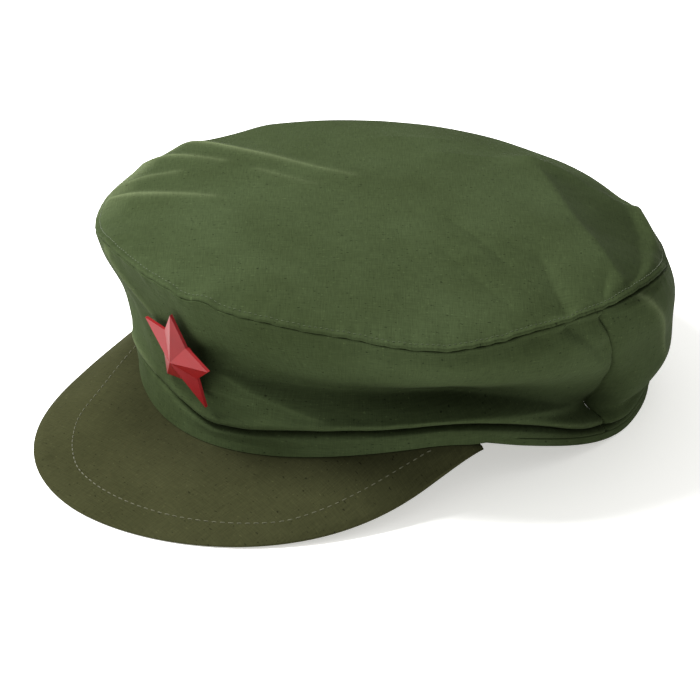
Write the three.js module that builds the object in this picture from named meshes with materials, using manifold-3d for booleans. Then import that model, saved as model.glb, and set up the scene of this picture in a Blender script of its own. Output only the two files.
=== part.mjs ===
// A soft peaked military cap of olive cotton, lying by itself on a flat surface.
// Millimetres, +Z up, the peak towards -Y. Angles go round the cap from the middle of the front towards +X.
import * as THREE from "three";
import { mergeVertices } from "three/addons/utils/BufferGeometryUtils.js";
import Module from "manifold-3d";

// Cloth and clearance
const CLOTH = 1.8;
const GAP = 0.3;

// Head opening: the lower edge of the cap, an oval for a head of about 58 cm round
const RIM_HALF_WIDTH = 88.3;
const RIM_HALF_LENGTH = 99.4;
const HEM_HEIGHT = 3;
const HEM_DEPTH = 2.4;
const HEM_BEVEL = 0.4;

// Peak: a cloth-covered board that props the front of the cap off the surface
const PEAK_LENGTH = 51;
const PEAK_THICKNESS = 2.2;
const PEAK_HALF_ANGLE = 72;
const PEAK_SLOPE = 14.6;
const PEAK_TURN_DOWN = 53;
const PEAK_OUTLINE_POWER = 1.84;
const PEAK_POINT_POWER = 1.24;
const PEAK_END_SHARE = 0.97;
const PEAK_EDGE_SHARE = 0.5;

// The opening's edge lies flat at the back and bends up towards the front, where it dips over the peak
const FRONT_DIP = 8.3;
const FRONT_DIP_ANGLE = 68;
const LIFT_START_ANGLE = 116;
const LIFT_END_ANGLE = 57;
const FRONT_RISE = PEAK_LENGTH * Math.sin(rad(PEAK_SLOPE))
  + PEAK_THICKNESS / 2 * PEAK_EDGE_SHARE * Math.cos(rad(PEAK_SLOPE)) + GAP;
const SIDE_LIFT = FRONT_RISE + FRONT_DIP;

// Crown: the ring of the top seam, slumped forwards and to the wearer's left, and the dome above it
const CROWN_HALF_WIDTH = 103;
const CROWN_HALF_LENGTH = 103;
const CROWN_SIDE_SLUMP = 3;
const CROWN_FRONT_SLUMP = 10;
const CROWN_HEIGHT = 72;
const CROWN_CENTRE_SHARE = 0.97;
const DOME_RISE = 12.5;
const DOME_POWER = 3;
const DISH_POWER = 2.2;
const EDGE_WIDTH_SHARE = 0.16;

// The top panel's edge round the cap: angle in degrees, its height as a share of CROWN_HEIGHT, its reach as a share
// of the crown's half width and half length, and how far it turns down to the seam as a share of CROWN_HEIGHT
const SEAM = [
  { angle: -140, height: 0.925, reach: 1.02, drop: 0.09 },
  { angle: -95, height: 0.973, reach: 1.03, drop: 0.09 },
  { angle: -60, height: 1.033, reach: 1.005, drop: 0.06 },
  { angle: -38, height: 1.035, reach: 1.005, drop: 0.02 },
  { angle: -15, height: 1.115, reach: 1.01, drop: 0.0 },
  { angle: 15, height: 1.085, reach: 1.02, drop: 0.0 },
  { angle: 40, height: 1.015, reach: 0.98, drop: 0.0 },
  { angle: 60, height: 0.95, reach: 1.0, drop: 0.0 },
  { angle: 80, height: 0.97, reach: 0.99, drop: 0.0 },
  { angle: 97, height: 0.98, reach: 1.01, drop: 0.0 },
  { angle: 115, height: 0.972, reach: 1.02, drop: 0.01 },
  { angle: 130, height: 0.91, reach: 1.0, drop: 0.04 },
  { angle: 155, height: 0.895, reach: 0.98, drop: 0.09 },
  { angle: 180, height: 0.875, reach: 1.005, drop: 0.1 },
];

// The side wall's levels as shares of its height, from the hem up to the seam
const LEVELS = { strip: 0.07, tuck: 0.14, roll: 0.2, hollow: 0.36, waist: 0.58, belly: 0.82 };

// How far the wall stands out (+) or in (-) at each level, as shares of CROWN_HEIGHT.
// A sideways fold runs round the near side: a tuck, the roll above it and the hollow above that.
const WALL = [
  { angle: -150, strip: 0.014, tuck: 0.014, roll: 0.028, hollow: 0.042, waist: 0.076, belly: 0.097 },
  { angle: -100, strip: 0.014, tuck: 0.014, roll: 0.028, hollow: 0.0, waist: 0.028, belly: 0.049 },
  { angle: -60, strip: 0.0, tuck: 0.0, roll: 0.0, hollow: -0.028, waist: -0.028, belly: 0.0 },
  { angle: -40, strip: 0.0, tuck: 0.0, roll: 0.0, hollow: -0.028, waist: -0.035, belly: 0.01 },
  { angle: 0, strip: -0.007, tuck: -0.021, roll: -0.028, hollow: -0.042, waist: -0.056, belly: -0.035 },
  { angle: 30, strip: 0.014, tuck: -0.005, roll: -0.01, hollow: -0.06, waist: -0.05, belly: -0.005 },
  { angle: 60, strip: 0.014, tuck: -0.021, roll: 0.01, hollow: -0.085, waist: -0.02, belly: 0.04 },
  { angle: 75, strip: 0.014, tuck: -0.02, roll: 0.02, hollow: -0.07, waist: 0.03, belly: 0.055 },
  { angle: 90, strip: 0.014, tuck: -0.02, roll: 0.025, hollow: -0.035, waist: 0.055, belly: 0.065 },
  { angle: 105, strip: 0.014, tuck: -0.015, roll: 0.015, hollow: 0.03, waist: 0.065, belly: 0.065 },
  { angle: 120, strip: 0.014, tuck: -0.014, roll: 0.042, hollow: 0.085, waist: 0.07, belly: 0.062 },
  { angle: 150, strip: 0.014, tuck: 0.0, roll: 0.042, hollow: 0.061, waist: 0.083, belly: 0.058 },
  { angle: 180, strip: 0.014, tuck: 0.0, roll: 0.028, hollow: 0.042, waist: 0.094, belly: 0.118 },
];

// Creases of the side wall: from an angle and a share of its height to another,
// rise (+) or dent (-) and half width as shares of CROWN_HEIGHT
const WALL_FOLDS = [
  { from: [103, 1.0], to: [118, 0.46], rise: 0.04, spread: 0.09 },
  { from: [96, 0.75], to: [103, 0.22], rise: -0.045, spread: 0.06 },
  { from: [-18, 0.92], to: [-8, 0.64], rise: 0.022, spread: 0.06 },
  { from: [12, 0.42], to: [36, 0.26], rise: 0.02, spread: 0.07 },
  { from: [150, 0.85], to: [162, 0.4], rise: -0.045, spread: 0.1 },
  { from: [-128, 0.8], to: [-118, 0.35], rise: -0.04, spread: 0.1 },
];

// Creases of the top panel: from and to are places across (+X) and back (+Y) as shares of the crown's half
// width and half length, rise (+) or dent (-) and half width as shares of CROWN_HALF_WIDTH
const TOP_FOLDS = [
  { from: [-0.95, -0.16], to: [-0.2, 0.0], rise: 0.018, spread: 0.055 },
  { from: [-0.72, -0.66], to: [-0.36, -0.48], rise: 0.013, spread: 0.055 },
  { from: [0.08, 0.66], to: [0.4, 0.8], rise: 0.03, spread: 0.12 },
  { from: [0.28, 0.56], to: [0.88, 0.27], rise: -0.026, spread: 0.1 },
  { from: [0.62, 0.08], to: [1.0, -0.07], rise: -0.026, spread: 0.085 },
  { from: [0.52, 0.78], to: [0.82, 0.56], rise: 0.015, spread: 0.06 },
];

// Star badge: five points in relief on a flat back, held by a soldered post and a nut inside the cap
const STAR_RADIUS = 20;
const STAR_POINTS = 5;
const STAR_NOTCH_SHARE = 0.54;
const STAR_EDGE = 1;
const STAR_RELIEF = 4;
const STAR_ANGLE = 3.4;
const STAR_HEIGHT_SHARE = 0.535;
const STAR_LEAN = 16;
const STAR_YAW = -6.5;
const STAR_TURN = 10.5;
const POST_RADIUS = 1.5;
const POST_END = 1.2;
const NUT_RADIUS = 4.2;
const NUT_THICKNESS = 2.4;

// Facets: one column of the cloth grid every few degrees, and the rows of each piece as shares
const COLUMN_STEP = 4;
const SIDE_SEAM_ANGLE = 100;
const WALL_ROWS = [0, 0.045, 0.09, 0.14, 0.17, 0.205, 0.28, 0.36, 0.47, 0.58, 0.7, 0.82, 0.92, 1];
const TOP_ROWS = [0, 0.03, 0.07, 0.115, 0.16, 0.24, 0.34, 0.45, 0.57, 0.7, 0.84, 1];
const PEAK_ROWS = [0, 0.25, 0.5, 0.75, 0.95, 1];
const PEAK_COLUMNS = 36;
const POST_SIDES = 12;
const NUT_SIDES = 6;

const UP = new THREE.Vector3(0, 0, 1);

function rad(degrees) {
  return degrees * Math.PI / 180;
}

function smoothstep(x, low, high) {
  const t = Math.min(Math.max((x - low) / (high - low), 0), 1);
  return t * t * (3 - 2 * t);
}

// Angle brought between -180 and 180
function wrapped(angle) {
  return ((angle + 180) % 360 + 360) % 360 - 180;
}

// Cubic between two values with the given slopes, t from 0 to 1 over a span
function hermite(t, span, v0, v1, slope0, slope1) {
  return (2 * t ** 3 - 3 * t ** 2 + 1) * v0 + (t ** 3 - 2 * t ** 2 + t) * span * slope0
    + (3 * t ** 2 - 2 * t ** 3) * v1 + (t ** 3 - t ** 2) * span * slope1;
}

// Reads a table's column at any angle: a smooth curve through the rows, closed round the cap
function around(rows, column, angle) {
  const count = rows.length;
  const at = (k) => rows[(k + count) % count].angle + 360 * Math.floor(k / count);
  const value = (k) => rows[(k + count) % count][column];
  const slope = (k) => (value(k + 1) - value(k - 1)) / (at(k + 1) - at(k - 1));
  const x = ((angle - rows[0].angle) % 360 + 360) % 360 + rows[0].angle;
  let k = count - 1;
  while (k > 0 && at(k) > x) k -= 1;
  const span = at(k + 1) - at(k);
  return hermite((x - at(k)) / span, span, value(k), value(k + 1), slope(k), slope(k + 1));
}

// Height of the opening's edge above the surface
function rimHeight(angle) {
  const a = Math.abs(wrapped(angle));
  const lift = SIDE_LIFT * (1 - smoothstep(a, LIFT_END_ANGLE, LIFT_START_ANGLE));
  return lift - FRONT_DIP * (1 + Math.cos(Math.PI * Math.min(a / FRONT_DIP_ANGLE, 1))) / 2;
}

function rim(angle) {
  const a = rad(angle);
  return new THREE.Vector3(RIM_HALF_WIDTH * Math.sin(a), -RIM_HALF_LENGTH * Math.cos(a), rimHeight(angle));
}

// Level direction square to the opening's oval
function outward(angle) {
  const a = rad(angle);
  return new THREE.Vector3(Math.sin(a) / RIM_HALF_WIDTH, -Math.cos(a) / RIM_HALF_LENGTH, 0).normalize();
}

// The line that the top panel heads for, before its edge turns down
function shoulder(angle) {
  const a = rad(angle);
  const reach = around(SEAM, "reach", angle);
  return new THREE.Vector3(
    CROWN_HALF_WIDTH * reach * Math.sin(a) + CROWN_SIDE_SLUMP,
    -CROWN_HALF_LENGTH * reach * Math.cos(a) - CROWN_FRONT_SLUMP,
    CROWN_HEIGHT * around(SEAM, "height", angle),
  );
}

// How far the top panel's edge turns down
function edgeDrop(angle) {
  return CROWN_HEIGHT * Math.max(around(SEAM, "drop", angle), 0);
}

function seam(angle) {
  return shoulder(angle).addScaledVector(UP, -edgeDrop(angle));
}

// Share of a fold's rise at a place: full along its line, fading smoothly over its half width and past its ends
function foldShare(x, y, ax, ay, bx, by, spread) {
  const dx = bx - ax;
  const dy = by - ay;
  const along = ((x - ax) * dx + (y - ay) * dy) / (dx * dx + dy * dy);
  const t = Math.min(Math.max(along, 0), 1);
  const away = Math.hypot(x - ax - t * dx, y - ay - t * dy) / spread;
  return Math.exp(-away * away);
}

function wallFolds(angle, share) {
  const round = rad(1) * RIM_HALF_LENGTH;
  let rise = 0;
  for (const fold of WALL_FOLDS) {
    const turn = wrapped(angle - fold.from[0]) * round;
    const end = (fold.to[0] - fold.from[0]) * round;
    const [low, high] = [fold.from[1] * CROWN_HEIGHT, fold.to[1] * CROWN_HEIGHT];
    rise += fold.rise * foldShare(turn, share * CROWN_HEIGHT, 0, low, end, high, fold.spread * CROWN_HEIGHT);
  }
  return rise * CROWN_HEIGHT * (1 - smoothstep(share, 0.94, 1)) * smoothstep(share, 0, 0.1);
}

// How far the wall stands out at an angle and a share of its height: a smooth curve through the named levels
function wallStand(angle, share) {
  const shares = [0, ...Object.values(LEVELS), 1];
  const stands = [0, ...Object.keys(LEVELS).map((level) => around(WALL, level, angle)), 0];
  const last = shares.length - 1;
  const slope = (k) => {
    const [a, b] = [Math.max(k - 1, 0), Math.min(k + 1, last)];
    return (stands[b] - stands[a]) / (shares[b] - shares[a]);
  };
  let k = last - 1;
  while (k > 0 && shares[k] > share) k -= 1;
  const span = shares[k + 1] - shares[k];
  const t = (share - shares[k]) / span;
  return CROWN_HEIGHT * hermite(t, span, stands[k], stands[k + 1], slope(k), slope(k + 1));
}

// Outer face of the side wall, from just above the hem to just under the top panel
function wall(angle, share) {
  const low = rim(angle).addScaledVector(UP, HEM_HEIGHT + GAP);
  const high = seam(angle).addScaledVector(UP, -(CLOTH + GAP));
  const lean = share ** 1.15;
  const point = new THREE.Vector3(
    low.x + (high.x - low.x) * lean,
    low.y + (high.y - low.y) * lean,
    low.z + (high.z - low.z) * share,
  );
  return point.addScaledVector(outward(angle), wallStand(angle, share) + wallFolds(angle, share));
}

function wallInside(angle, share) {
  return wall(angle, share).addScaledVector(outward(angle), -CLOTH);
}

// Outer face of the top panel, share 0 at the seam and 1 at the middle
function top(angle, share) {
  const out = 1 - share;
  const edge = shoulder(angle);
  const turned = Math.max(1 - share / EDGE_WIDTH_SHARE, 0);
  const point = new THREE.Vector3(CROWN_SIDE_SLUMP, -CROWN_FRONT_SLUMP, CROWN_CENTRE_SHARE * CROWN_HEIGHT);
  const middle = point.z;
  point.lerp(edge, out);
  point.z = middle + (edge.z - middle) * out ** DISH_POWER + DOME_RISE * (1 - out ** DOME_POWER);
  point.z -= edgeDrop(angle) * turned ** 2;
  const across = (point.x - CROWN_SIDE_SLUMP) / CROWN_HALF_WIDTH;
  const back = (point.y + CROWN_FRONT_SLUMP) / CROWN_HALF_LENGTH;
  let rise = 0;
  for (const fold of TOP_FOLDS) {
    rise += fold.rise * foldShare(across, back, ...fold.from, ...fold.to, fold.spread);
  }
  point.z += rise * CROWN_HALF_WIDTH * smoothstep(share, 0, 0.08);
  return point;
}

function topInside(angle, share) {
  return top(angle, share).addScaledVector(UP, -CLOTH);
}

// Face of the turned hem: depth inwards from the opening's edge and height above it
function hem(angle, depth, height) {
  return rim(angle).addScaledVector(outward(angle), -depth).addScaledVector(UP, height);
}

// One face of the peak, side +1 on top and -1 underneath; share 0 at the cap and 1 at the free edge
function peak(angle, share, side) {
  const turn = Math.abs(angle) / PEAK_HALF_ANGLE;
  const reach = PEAK_LENGTH * (1 - turn ** PEAK_OUTLINE_POWER) ** PEAK_POINT_POWER;
  const slope = rad(PEAK_SLOPE + PEAK_TURN_DOWN * turn ** 2);
  const out = outward(angle);
  const square = out.clone().multiplyScalar(Math.sin(slope)).addScaledVector(UP, Math.cos(slope));
  const half = PEAK_THICKNESS / 2;
  const edge = share === 1 ? PEAK_EDGE_SHARE : 1;
  return rim(angle)
    .addScaledVector(out, reach * share * Math.cos(slope))
    .addScaledVector(UP, -reach * share * Math.sin(slope) - GAP)
    .addScaledVector(square, side * half * edge - half * (1 - share));
}

// The peak's sewn-in strip: its faces run on level under the hem
function peakRoot(angle, side) {
  return peak(angle, 0, side).addScaledVector(outward(angle), -HEM_DEPTH);
}

// A mesh of points with no doubles and no flat triangles
function closed(triangles) {
  const soup = new THREE.BufferGeometry().setFromPoints(triangles);
  const merged = mergeVertices(soup, 1e-4);
  const index = merged.getIndex().array;
  const kept = [];
  for (let k = 0; k < index.length; k += 3) {
    const [a, b, c] = [index[k], index[k + 1], index[k + 2]];
    if (a !== b && b !== c && c !== a) kept.push(a, b, c);
  }
  merged.setIndex(kept);
  return merged;
}

// A wall between two faces given as grids of points, columns round the cap and rows across it
function shell(outer, inner, ring) {
  const triangles = [];
  const quad = (a, b, c, d) => triangles.push(a, b, c, a, c, d);
  const columns = outer.length - 1;
  const rows = outer[0].length - 1;
  for (let i = 0; i < columns; i += 1) {
    for (let j = 0; j < rows; j += 1) {
      quad(outer[i][j], outer[i + 1][j], outer[i + 1][j + 1], outer[i][j + 1]);
      quad(inner[i][j + 1], inner[i + 1][j + 1], inner[i + 1][j], inner[i][j]);
    }
    quad(inner[i][0], inner[i + 1][0], outer[i + 1][0], outer[i][0]);
    quad(outer[i][rows], outer[i + 1][rows], inner[i + 1][rows], inner[i][rows]);
  }
  if (!ring) {
    for (let j = 0; j < rows; j += 1) {
      quad(inner[0][j], outer[0][j], outer[0][j + 1], inner[0][j + 1]);
      quad(outer[columns][j], inner[columns][j], inner[columns][j + 1], outer[columns][j + 1]);
    }
  }
  return closed(triangles);
}

function grid(columns, rows, place) {
  return columns.map((column) => rows.map((row) => place(column, row)));
}

// Angles from one to another in even steps
function turns(from, to) {
  const steps = Math.round((to - from) / COLUMN_STEP);
  return Array.from({ length: steps + 1 }, (_, k) => from + (to - from) * k / steps);
}

// Solids for cutting and joining
const wasm = await Module();
wasm.setup();

function toSolid(geometry) {
  const bare = geometry.clone();
  bare.deleteAttribute("normal");
  bare.deleteAttribute("uv");
  const merged = mergeVertices(bare, 1e-4);
  return new wasm.Manifold(new wasm.Mesh({
    numProp: 3,
    vertProperties: new Float32Array(merged.getAttribute("position").array),
    triVerts: new Uint32Array(merged.getIndex().array),
  }));
}

function toGeometry(solid) {
  const mesh = solid.getMesh();
  const geometry = new THREE.BufferGeometry();
  geometry.setAttribute("position", new THREE.BufferAttribute(new Float32Array(mesh.vertProperties), 3));
  geometry.setIndex(new THREE.BufferAttribute(new Uint32Array(mesh.triVerts), 1));
  return geometry;
}

// A round bar along its own Z, from one height to another
function bar(radius, sides, from, to) {
  return new THREE.CylinderGeometry(radius, radius, to - from, sides)
    .rotateX(Math.PI / 2)
    .translate(0, 0, (from + to) / 2);
}

// The top panel: a slack cloth disc, domed and creased
function makeTop() {
  const columns = turns(-180, 180);
  return shell(grid(columns, TOP_ROWS, top), grid(columns, TOP_ROWS, topInside), true);
}

// One cloth piece of the side wall, between two angles less half a gap at each end
function makeWall(from, to) {
  const half = GAP / 2 / rad(1) / CROWN_HALF_WIDTH;
  const columns = turns(from, to);
  columns[0] += half;
  columns[columns.length - 1] -= half;
  return shell(grid(columns, WALL_ROWS, wall), grid(columns, WALL_ROWS, wallInside), false);
}

// The hem: a narrow turned edge with its corners eased, flat underneath
function makeHem() {
  const columns = turns(-180, 180);
  const heights = [0, HEM_BEVEL, HEM_HEIGHT - HEM_BEVEL, HEM_HEIGHT];
  const outer = (angle, height) => {
    const corner = height === 0 || height === HEM_HEIGHT ? HEM_BEVEL : 0;
    return hem(angle, corner, height);
  };
  const inner = (angle, height) => hem(angle, HEM_DEPTH, height);
  return shell(grid(columns, heights, outer), grid(columns, heights, inner), true);
}

// The peak: its sewn-in strip, then the board out to its thin free edge
function makePeak() {
  const end = PEAK_HALF_ANGLE * PEAK_END_SHARE;
  const columns = Array.from({ length: PEAK_COLUMNS + 1 }, (_, k) => end * (2 * k / PEAK_COLUMNS - 1));
  const face = (side) => columns.map((angle) => [
    peakRoot(angle, side),
    ...PEAK_ROWS.map((share) => peak(angle, share, side)),
  ]);
  return shell(face(-1), face(1), false);
}

// Where the badge sits: a frame on the wall with Z outwards, Y up along the lean and X to the wearer's left
function badgeFrame() {
  const outwards = new THREE.Vector3(Math.sin(rad(STAR_YAW)), -Math.cos(rad(STAR_YAW)), 0);
  const across = new THREE.Vector3().crossVectors(UP, outwards);
  const frame = new THREE.Matrix4().makeBasis(across, UP, outwards);
  frame.multiply(new THREE.Matrix4().makeRotationX(rad(STAR_LEAN)));
  return frame.setPosition(wall(STAR_ANGLE, STAR_HEIGHT_SHARE));
}

// Whether a place on the star's back, from its middle, lies inside the star's outline
function underStar(x, y) {
  const part = Math.PI / STAR_POINTS;
  const turned = Math.atan2(x, y) - rad(STAR_TURN);
  const offTip = Math.abs(turned - 2 * part * Math.round(turned / (2 * part)));
  const across = STAR_NOTCH_SHARE * Math.sin(part);
  const inward = 1 - STAR_NOTCH_SHARE * Math.cos(part);
  return Math.hypot(x, y) * (inward * Math.sin(offTip) + across * Math.cos(offTip)) < STAR_RADIUS * across;
}

function underNut(x, y) {
  return Math.hypot(x, y) < NUT_RADIUS;
}

// How far a wall face reaches along the badge's axis under a piece, outwards (+1) or inwards (-1)
function faceReach(frame, face, under, side) {
  const back = frame.clone().invert();
  const half = STAR_RADIUS / RIM_HALF_LENGTH / rad(1);
  const steps = 60;
  let reach = -Infinity;
  for (let i = 0; i <= steps; i += 1) {
    for (let j = 0; j <= steps; j += 1) {
      const point = face(STAR_ANGLE + half * (2 * i / steps - 1), j / steps).applyMatrix4(back);
      if (under(point.x, point.y)) reach = Math.max(reach, side * point.z);
    }
  }
  return side * reach;
}

// The star's outline: tips and notches in turn, the first tip straight up
function starOutline(depth) {
  return Array.from({ length: 2 * STAR_POINTS }, (_, k) => {
    const radius = k % 2 === 0 ? STAR_RADIUS : STAR_RADIUS * STAR_NOTCH_SHARE;
    const a = Math.PI / STAR_POINTS * k;
    return new THREE.Vector3(-radius * Math.sin(a), radius * Math.cos(a), depth);
  });
}

// The star: a flat back, an upright edge and ten facets up to one peak, with its post behind
function makeStar(back, postEnd) {
  const lower = starOutline(back);
  const upper = starOutline(back + STAR_EDGE);
  const summit = new THREE.Vector3(0, 0, back + STAR_EDGE + STAR_RELIEF);
  const middle = new THREE.Vector3(0, 0, back);
  const triangles = [];
  for (let k = 0; k < upper.length; k += 1) {
    const next = (k + 1) % upper.length;
    triangles.push(upper[k], upper[next], summit, lower[next], lower[k], middle);
    triangles.push(lower[k], lower[next], upper[next], lower[k], upper[next], upper[k]);
  }
  const post = toSolid(bar(POST_RADIUS, POST_SIDES, postEnd, back + STAR_EDGE));
  return toGeometry(toSolid(closed(triangles)).add(post)).rotateZ(-rad(STAR_TURN));
}

function makeNut(face) {
  const body = toSolid(bar(NUT_RADIUS, NUT_SIDES, face - NUT_THICKNESS, face));
  const hole = toSolid(bar(POST_RADIUS + GAP, POST_SIDES, face - 2 * NUT_THICKNESS, face + NUT_THICKNESS));
  return toGeometry(body.subtract(hole));
}

const OLIVE_TOP = new THREE.MeshStandardMaterial({ color: 0x5c6b45, roughness: 0.9, metalness: 0 });
const OLIVE_SIDE = new THREE.MeshStandardMaterial({ color: 0x4c5a3c, roughness: 0.9, metalness: 0 });
const OLIVE_PEAK = new THREE.MeshStandardMaterial({ color: 0x484a36, roughness: 0.9, metalness: 0 });
const RED_ENAMEL = new THREE.MeshStandardMaterial({ color: 0xb8202c, roughness: 0.25, metalness: 0 });
const BRASS = new THREE.MeshStandardMaterial({ color: 0xb5924a, roughness: 0.35, metalness: 1 });

function node(name, geometry, material) {
  const mesh = new THREE.Mesh(geometry, material);
  mesh.name = name;
  return mesh;
}

// The badge and its nut share one frame, and the wall has a clearance hole on the badge's axis
const frame = badgeFrame();
const starBack = faceReach(frame, wall, underStar, 1) + GAP;
const nutFace = faceReach(frame, wallInside, underNut, -1) - GAP;
const postEnd = nutFace - NUT_THICKNESS - POST_END;
const postHole = toSolid(bar(POST_RADIUS + GAP, POST_SIDES, postEnd, starBack).applyMatrix4(frame));
const front = toGeometry(toSolid(makeWall(-SIDE_SEAM_ANGLE, SIDE_SEAM_ANGLE)).subtract(postHole));

const badge = new THREE.Group();
badge.applyMatrix4(frame);
badge.add(node("star_badge", makeStar(starBack, postEnd), RED_ENAMEL));
badge.add(node("badge_nut", makeNut(nutFace), BRASS));

const group = new THREE.Group();
group.add(node("crown_top", makeTop(), OLIVE_TOP));
group.add(node("side_front", front, OLIVE_SIDE));
group.add(node("side_back", makeWall(SIDE_SEAM_ANGLE, 360 - SIDE_SEAM_ANGLE), OLIVE_SIDE));
group.add(node("hem_band", makeHem(), OLIVE_SIDE));
group.add(node("peak", makePeak(), OLIVE_PEAK));
group.add(badge);

// The origin is on the surface, under the middle of the cap's outer box
group.updateMatrixWorld(true);
const box = new THREE.Box3().setFromObject(group, true);
group.position.set(-(box.min.x + box.max.x) / 2, -(box.min.y + box.max.y) / 2, -box.min.z);

export default group;
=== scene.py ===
# %% [markdown]
# # A soft peaked cap of olive cotton
# The cap is sewn from four cloth pieces and a covered peak, and carries a red enamelled star. The solids of the
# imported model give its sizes. Here each cloth piece is made again as a fine surface with its folds, seams and
# weave, in the same place as its solid.

import bmesh
import bpy
import numpy as np
from mathutils import Matrix, Vector


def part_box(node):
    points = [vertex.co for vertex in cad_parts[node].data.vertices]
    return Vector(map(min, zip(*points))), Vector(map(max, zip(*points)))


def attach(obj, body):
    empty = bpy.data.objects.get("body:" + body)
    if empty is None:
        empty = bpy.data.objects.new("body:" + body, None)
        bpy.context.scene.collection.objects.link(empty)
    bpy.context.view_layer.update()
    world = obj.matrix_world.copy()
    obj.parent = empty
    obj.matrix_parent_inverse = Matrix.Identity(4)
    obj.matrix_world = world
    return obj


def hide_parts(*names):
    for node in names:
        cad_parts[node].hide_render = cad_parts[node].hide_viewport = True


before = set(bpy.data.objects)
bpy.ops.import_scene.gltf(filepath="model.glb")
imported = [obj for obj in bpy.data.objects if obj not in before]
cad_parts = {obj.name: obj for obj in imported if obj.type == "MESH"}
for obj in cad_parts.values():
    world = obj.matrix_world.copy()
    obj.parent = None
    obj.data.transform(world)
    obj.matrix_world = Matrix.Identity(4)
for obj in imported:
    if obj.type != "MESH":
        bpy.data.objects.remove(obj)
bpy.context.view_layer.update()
print("nodes:", ", ".join(sorted(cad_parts)))

# %% [markdown]
# ## Sizes
# All lengths here are millimetres, in the frame of the head opening: its middle is the origin, the peak points to
# -Y and +X is the wearer's left. Angles go round the cap in degrees from the middle of the front towards +X. The
# hem is the one piece that is even all round, so the middle of its box gives the way from this frame to the part's.

# %% Sizes and the way to the part's frame
MM = 0.001
CLOTH, GAP = 1.8, 0.3
RIM_HALF_WIDTH, RIM_HALF_LENGTH = 88.3, 99.4
HEM_HEIGHT, HEM_DEPTH = 3.0, 2.4
PEAK_LENGTH, PEAK_THICKNESS, PEAK_HALF_ANGLE = 51.0, 2.2, 72.0
PEAK_SLOPE, PEAK_TURN_DOWN = 14.6, 53.0
PEAK_OUTLINE_POWER, PEAK_POINT_POWER, PEAK_END_SHARE, PEAK_EDGE_SHARE = 1.84, 1.24, 0.97, 0.5
FRONT_DIP, FRONT_DIP_ANGLE, LIFT_START_ANGLE, LIFT_END_ANGLE = 8.3, 68.0, 116.0, 57.0
CROWN_HALF, CROWN_SIDE_SLUMP, CROWN_FRONT_SLUMP = 103.0, 3.0, 10.0
CROWN_HEIGHT, CROWN_CENTRE_SHARE = 72.0, 0.97
DOME_RISE, DOME_POWER, DISH_POWER, EDGE_WIDTH_SHARE = 12.5, 3.0, 2.2, 0.16

low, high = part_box("hem_band")
SHIFT = np.array([(low.x + high.x) / 2 / MM, (low.y + high.y) / 2 / MM, 0.0])
print("opening's middle in the part's frame, mm:", np.round(SHIFT, 2))

# %% [markdown]
# ## Reading a short table round the cap
# A soft cap has no constant section. A few rows, each an angle and what is found there, are enough if a smooth
# curve joins them: a cubic whose slope at each row is that of the line between its two neighbours.


# %% Smooth curves through table rows
def smoothstep(x, start, end):
    """0 before start, 1 after end, and t squared times (3 - 2t) between, t being the share of the way."""
    t = np.clip((x - start) / (end - start), 0, 1)
    return t * t * (3 - 2 * t)


def wrapped(angle):
    """The same angle, brought between -180 and 180."""
    return (angle + 180) % 360 - 180


def cubic(t, span, v0, v1, slope0, slope1):
    """The cubic from v0 to v1 over a span, with the given slopes at its ends, t from 0 to 1."""
    rise = (2 * t**3 - 3 * t**2 + 1) * v0 + (3 * t**2 - 2 * t**3) * v1
    return rise + ((t**3 - 2 * t**2 + t) * slope0 + (t**3 - t**2) * slope1) * span


def around(rows, column, angle):
    """A column of a table at any angle, by a cubic between rows that is closed round the cap."""
    at, value = rows[:, 0], rows[:, column]
    at = np.concatenate([at[-1:] - 360, at, at[:2] + 360])
    value = np.concatenate([value[-1:], value, value[:2]])
    slope = np.zeros(len(at))
    slope[1:-1] = (value[2:] - value[:-2]) / (at[2:] - at[:-2])
    x = (angle - at[1]) % 360 + at[1]
    k = np.clip(np.searchsorted(at, x, side="right") - 1, 1, len(at) - 3)
    span = at[k + 1] - at[k]
    return cubic((x - at[k]) / span, span, value[k], value[k + 1], slope[k], slope[k + 1])


# The top panel's edge: angle, height as a share of the crown's height, reach as a share of its half width, and how
# far it turns down to the seam, again as a share of the height
SEAM = np.array([
    (-140, 0.925, 1.02, 0.09), (-95, 0.973, 1.03, 0.09), (-60, 1.033, 1.005, 0.06), (-38, 1.035, 1.005, 0.02),
    (-15, 1.115, 1.01, 0), (15, 1.085, 1.02, 0), (40, 1.015, 0.98, 0), (60, 0.95, 1.0, 0), (80, 0.97, 0.99, 0),
    (97, 0.98, 1.01, 0), (115, 0.972, 1.02, 0.01), (130, 0.91, 1.0, 0.04), (155, 0.895, 0.98, 0.09),
    (180, 0.875, 1.005, 0.1),
])
# Levels of the side wall as shares of its height, and how far it stands out there, as shares of the crown's height:
# angle, strip, tuck, roll, hollow, waist, belly
LEVELS = np.array([0, 0.07, 0.14, 0.2, 0.36, 0.58, 0.82, 1])
WALL = np.array([
    (-150, 0.014, 0.014, 0.028, 0.042, 0.076, 0.097), (-100, 0.014, 0.014, 0.028, 0.0, 0.028, 0.049),
    (-60, 0, 0, 0, -0.028, -0.028, 0), (-40, 0, 0, 0, -0.028, -0.035, 0.01),
    (0, -0.007, -0.021, -0.028, -0.042, -0.056, -0.035), (30, 0.014, -0.005, -0.01, -0.06, -0.05, -0.005),
    (60, 0.014, -0.021, 0.01, -0.085, -0.02, 0.04), (75, 0.014, -0.02, 0.02, -0.07, 0.03, 0.055),
    (90, 0.014, -0.02, 0.025, -0.035, 0.055, 0.065), (105, 0.014, -0.015, 0.015, 0.03, 0.065, 0.065),
    (120, 0.014, -0.014, 0.042, 0.085, 0.07, 0.062), (150, 0.014, 0.0, 0.042, 0.061, 0.083, 0.058),
    (180, 0.014, 0.0, 0.028, 0.042, 0.094, 0.118),
])
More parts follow.
